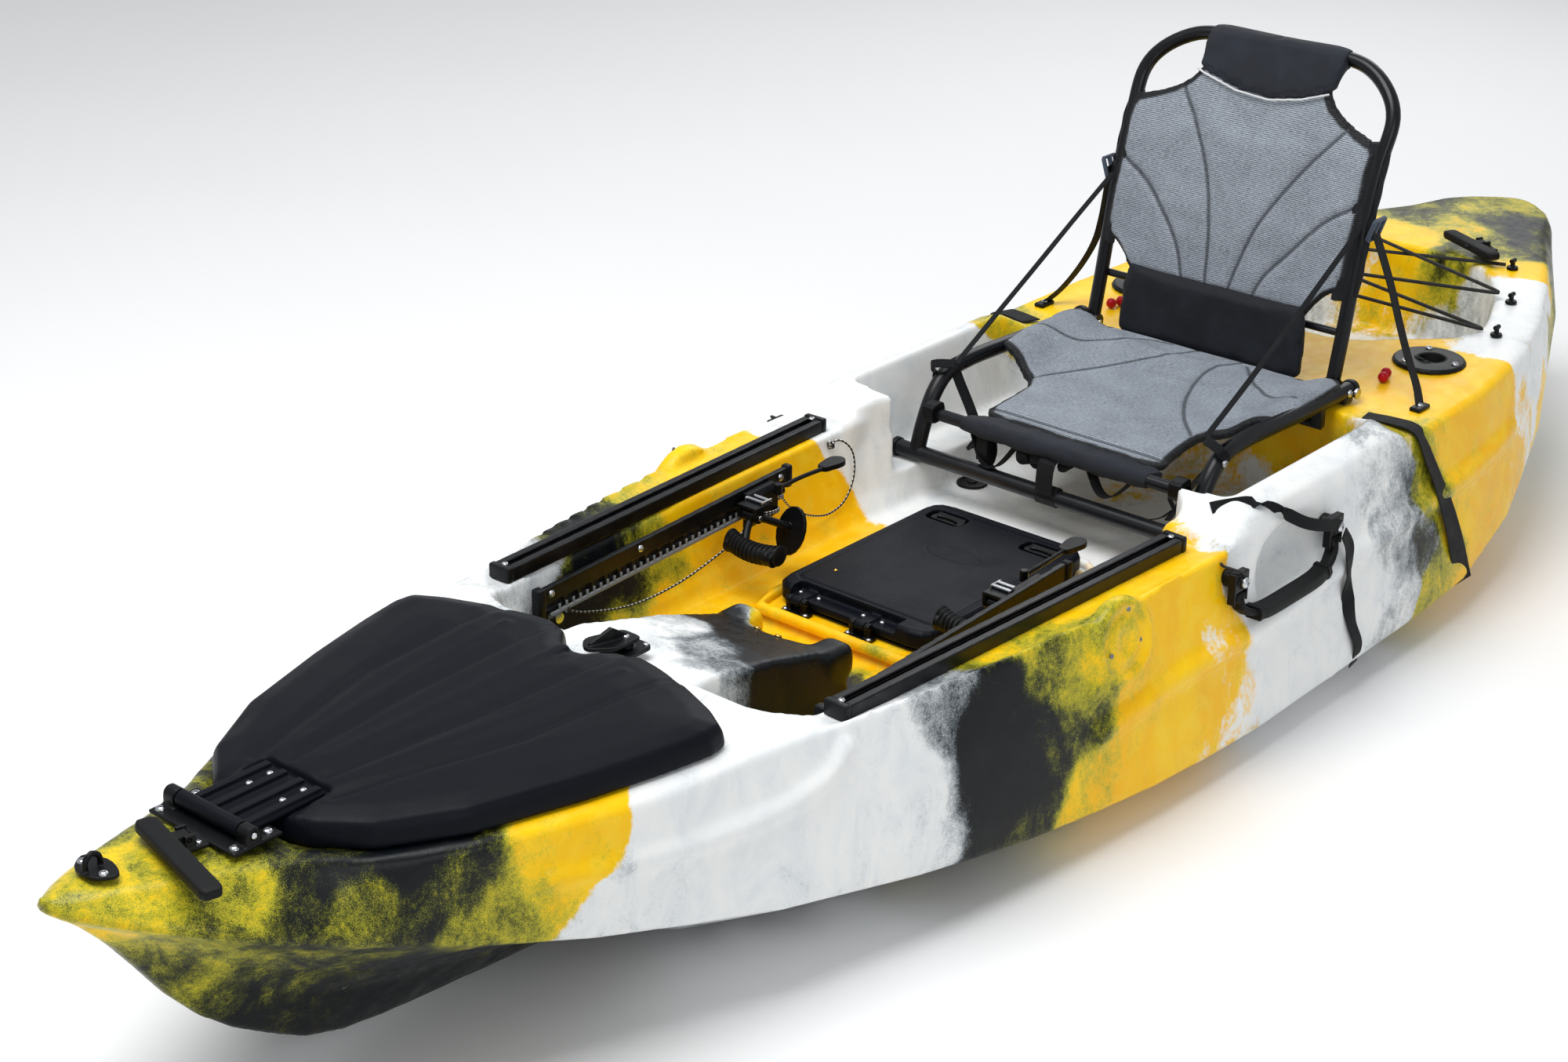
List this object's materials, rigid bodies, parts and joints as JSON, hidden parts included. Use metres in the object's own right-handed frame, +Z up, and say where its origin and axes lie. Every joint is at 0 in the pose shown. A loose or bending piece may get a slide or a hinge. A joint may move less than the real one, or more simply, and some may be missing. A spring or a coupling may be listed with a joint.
{
  "type": "pedal fishing boat",
  "caption": "Sit-on-top pedal fishing boat: moulded hull, hinged bow hatch, drive well, foot braces, gear tracks and a folding frame seat.",
  "frame": {"origin": "on the ground under the middle of the hull", "axes": "+X towards the bow, +Y to port, +Z up"},
  "size_m": [3.2, 0.86, 0.8245],
  "materials": {
    "hull_plastic": "satin rotomoulded plastic in swirled yellow, white, olive and black",
    "lid_plastic": "satin blue-black moulding",
    "black_plastic": "satin moulded nylon",
    "rubber": "matt",
    "steel": "polished stainless",
    "anodised_rail": "black anodised",
    "seat_tube": "satin black powder coat",
    "seat_fabric": "grey woven mesh",
    "webbing": "black woven webbing and elastic"
  },
  "bodies": {
    "boat": {"hull": "hull_plastic", "bow_hatch_hinge_base": "black_plastic", "bow_hatch_hinge_pin": "steel", "bow_hatch_latch_base": "black_plastic", "bow_padeye": "black_plastic", "bow_handle_bracket": "black_plastic", "stern_handle_bracket": "black_plastic", "drive_well_bucket": "black_plastic", "drive_well_hinge_1": "black_plastic", "drive_well_hinge_2": "black_plastic", "gear_track_port": "anodised_rail", "foot_rail_port": "black_plastic", "pan_clamp_port": "black_plastic", "backrest_pivot_bolt_port": "steel", "rod_holder_port": "black_plastic", "side_handle_front_bolt_port": "black_plastic", "side_handle_rear_bolt_port": "black_plastic", "deck_hook_1_port": "black_plastic", "deck_hook_2_port": "black_plastic", "deck_hook_3_port": "black_plastic", "gear_track_starboard": "anodised_rail", "foot_rail_starboard": "black_plastic", "pan_clamp_starboard": "black_plastic", "backrest_pivot_bolt_starboard": "steel", "rod_holder_starboard": "black_plastic", "side_handle_front_bolt_starboard": "black_plastic", "side_handle_rear_bolt_starboard": "black_plastic", "deck_hook_1_starboard": "black_plastic", "deck_hook_2_starboard": "black_plastic", "deck_hook_3_starboard": "black_plastic", "seat_base_frame": "seat_tube", "pan_front_bar": "seat_tube", "seat_pan_cushion": "seat_fabric", "tank_bungee": "webbing"},
    "bow_hatch": {"bow_hatch_lid": "lid_plastic", "bow_hatch_hinge_leaf": "black_plastic"},
    "bow_latch": {"bow_hatch_latch": "black_plastic"},
    "bow_handle": {"bow_handle_grip": "rubber"},
    "stern_handle": {"stern_handle_grip": "rubber"},
    "drive_well_cover": {"drive_well_lid": "lid_plastic"},
    "cover_latch_1": {"drive_well_latch_1": "black_plastic"},
    "cover_latch_2": {"drive_well_latch_2": "black_plastic"},
    "backrest": {"backrest_frame": "seat_tube", "backrest_panel": "seat_fabric", "recline_strap_port": "webbing", "recline_strap_starboard": "webbing"},
    "foot_slider_port": {"foot_carriage_port": "black_plastic", "foot_pedal_pin_port": "steel", "foot_rope_rear_port": "webbing", "foot_rope_front_port": "webbing"},
    "foot_pedal_port": {"foot_pedal_port": "rubber"},
    "foot_lever_port": {"foot_lever_port": "black_plastic"},
    "carry_handle_port": {"side_handle_port": "rubber"},
    "foot_slider_starboard": {"foot_carriage_starboard": "black_plastic", "foot_pedal_pin_starboard": "steel", "foot_rope_rear_starboard": "webbing", "foot_rope_front_starboard": "webbing"},
    "foot_pedal_starboard": {"foot_pedal_starboard": "rubber"},
    "foot_lever_starboard": {"foot_lever_starboard": "black_plastic"},
    "carry_handle_starboard": {"side_handle_starboard": "rubber"}
  },
  "joints": [
    {"name": "bow_hatch_hinge", "type": "hinge", "parent": "boat", "child": "bow_hatch", "pos_m": [1.383, 0, 0.372], "axis": [0, 1, 0], "range_deg": [0, 105]},
    {"name": "bow_latch_turn", "type": "hinge", "parent": "boat", "child": "bow_latch", "pos_m": [0.752, 0.004, 0.345], "axis": [0, 0, 1], "range_deg": [0, 90]},
    {"name": "bow_handle_lift", "type": "hinge", "parent": "boat", "child": "bow_handle", "pos_m": [1.43427, 0.02018, 0.3755], "axis": [-0.2419, -0.9703, 0], "range_deg": [0, 100]},
    {"name": "stern_handle_lift", "type": "hinge", "parent": "boat", "child": "stern_handle", "pos_m": [-1.25495, 0.10123, 0.384], "axis": [-0.4695, -0.8829, 0], "range_deg": [0, 100]},
    {"name": "drive_well_hinge", "type": "hinge", "parent": "boat", "child": "drive_well_cover", "pos_m": [0.323, 0, 0.214], "axis": [0, 1, 0], "range_deg": [0, 95]},
    {"name": "cover_latch_1_flip", "type": "hinge", "parent": "drive_well_cover", "child": "cover_latch_1", "pos_m": [-0.024, -0.084, 0.223], "axis": [0, -1, 0], "range_deg": [0, 60]},
    {"name": "cover_latch_2_flip", "type": "hinge", "parent": "drive_well_cover", "child": "cover_latch_2", "pos_m": [-0.024, 0.084, 0.223], "axis": [0, -1, 0], "range_deg": [0, 60]},
    {"name": "backrest_fold", "type": "hinge", "parent": "boat", "child": "backrest", "pos_m": [-0.561, 0, 0.353], "axis": [0, 1, 0], "range_deg": [0, 62], "deforming": ["recline_strap_port", "recline_strap_starboard"]},
    {"name": "foot_slide_port", "type": "slide", "parent": "boat", "child": "foot_slider_port", "axis": [0.9991, 0, -0.0428], "range_m": [-0.03, 0.2], "deforming": ["foot_rope_rear_port", "foot_rope_front_port"]},
    {"name": "foot_pedal_tilt_port", "type": "hinge", "parent": "foot_slider_port", "child": "foot_pedal_port", "pos_m": [0.273, 0.215, 0.288], "axis": [0, 1, 0], "range_deg": [-20, 25]},
    {"name": "foot_lever_release_port", "type": "hinge", "parent": "foot_slider_port", "child": "foot_lever_port", "pos_m": [0.214, 0.215, 0.309], "axis": [0, 0, 1], "range_deg": [0, 12], "stiffness_Nm_per_rad": 0.4},
    {"name": "carry_handle_swing_port", "type": "hinge", "parent": "boat", "child": "carry_handle_port", "pos_m": [-0.1315, 0.409, 0.26], "axis": [1, 0, 0], "range_deg": [0, 66]},
    {"name": "foot_slide_starboard", "type": "slide", "parent": "boat", "child": "foot_slider_starboard", "axis": [0.9991, 0, -0.0428], "range_m": [-0.03, 0.2], "deforming": ["foot_rope_rear_starboard", "foot_rope_front_starboard"]},
    {"name": "foot_pedal_tilt_starboard", "type": "hinge", "parent": "foot_slider_starboard", "child": "foot_pedal_starboard", "pos_m": [0.273, -0.215, 0.288], "axis": [0, 1, 0], "range_deg": [-20, 25]},
    {"name": "foot_lever_release_starboard", "type": "hinge", "parent": "foot_slider_starboard", "child": "foot_lever_starboard", "pos_m": [0.214, -0.215, 0.309], "axis": [0, 0, -1], "range_deg": [0, 12], "stiffness_Nm_per_rad": 0.4},
    {"name": "carry_handle_swing_starboard", "type": "hinge", "parent": "boat", "child": "carry_handle_starboard", "pos_m": [-0.1315, -0.409, 0.26], "axis": [-1, 0, 0], "range_deg": [0, 66]}
  ]
}
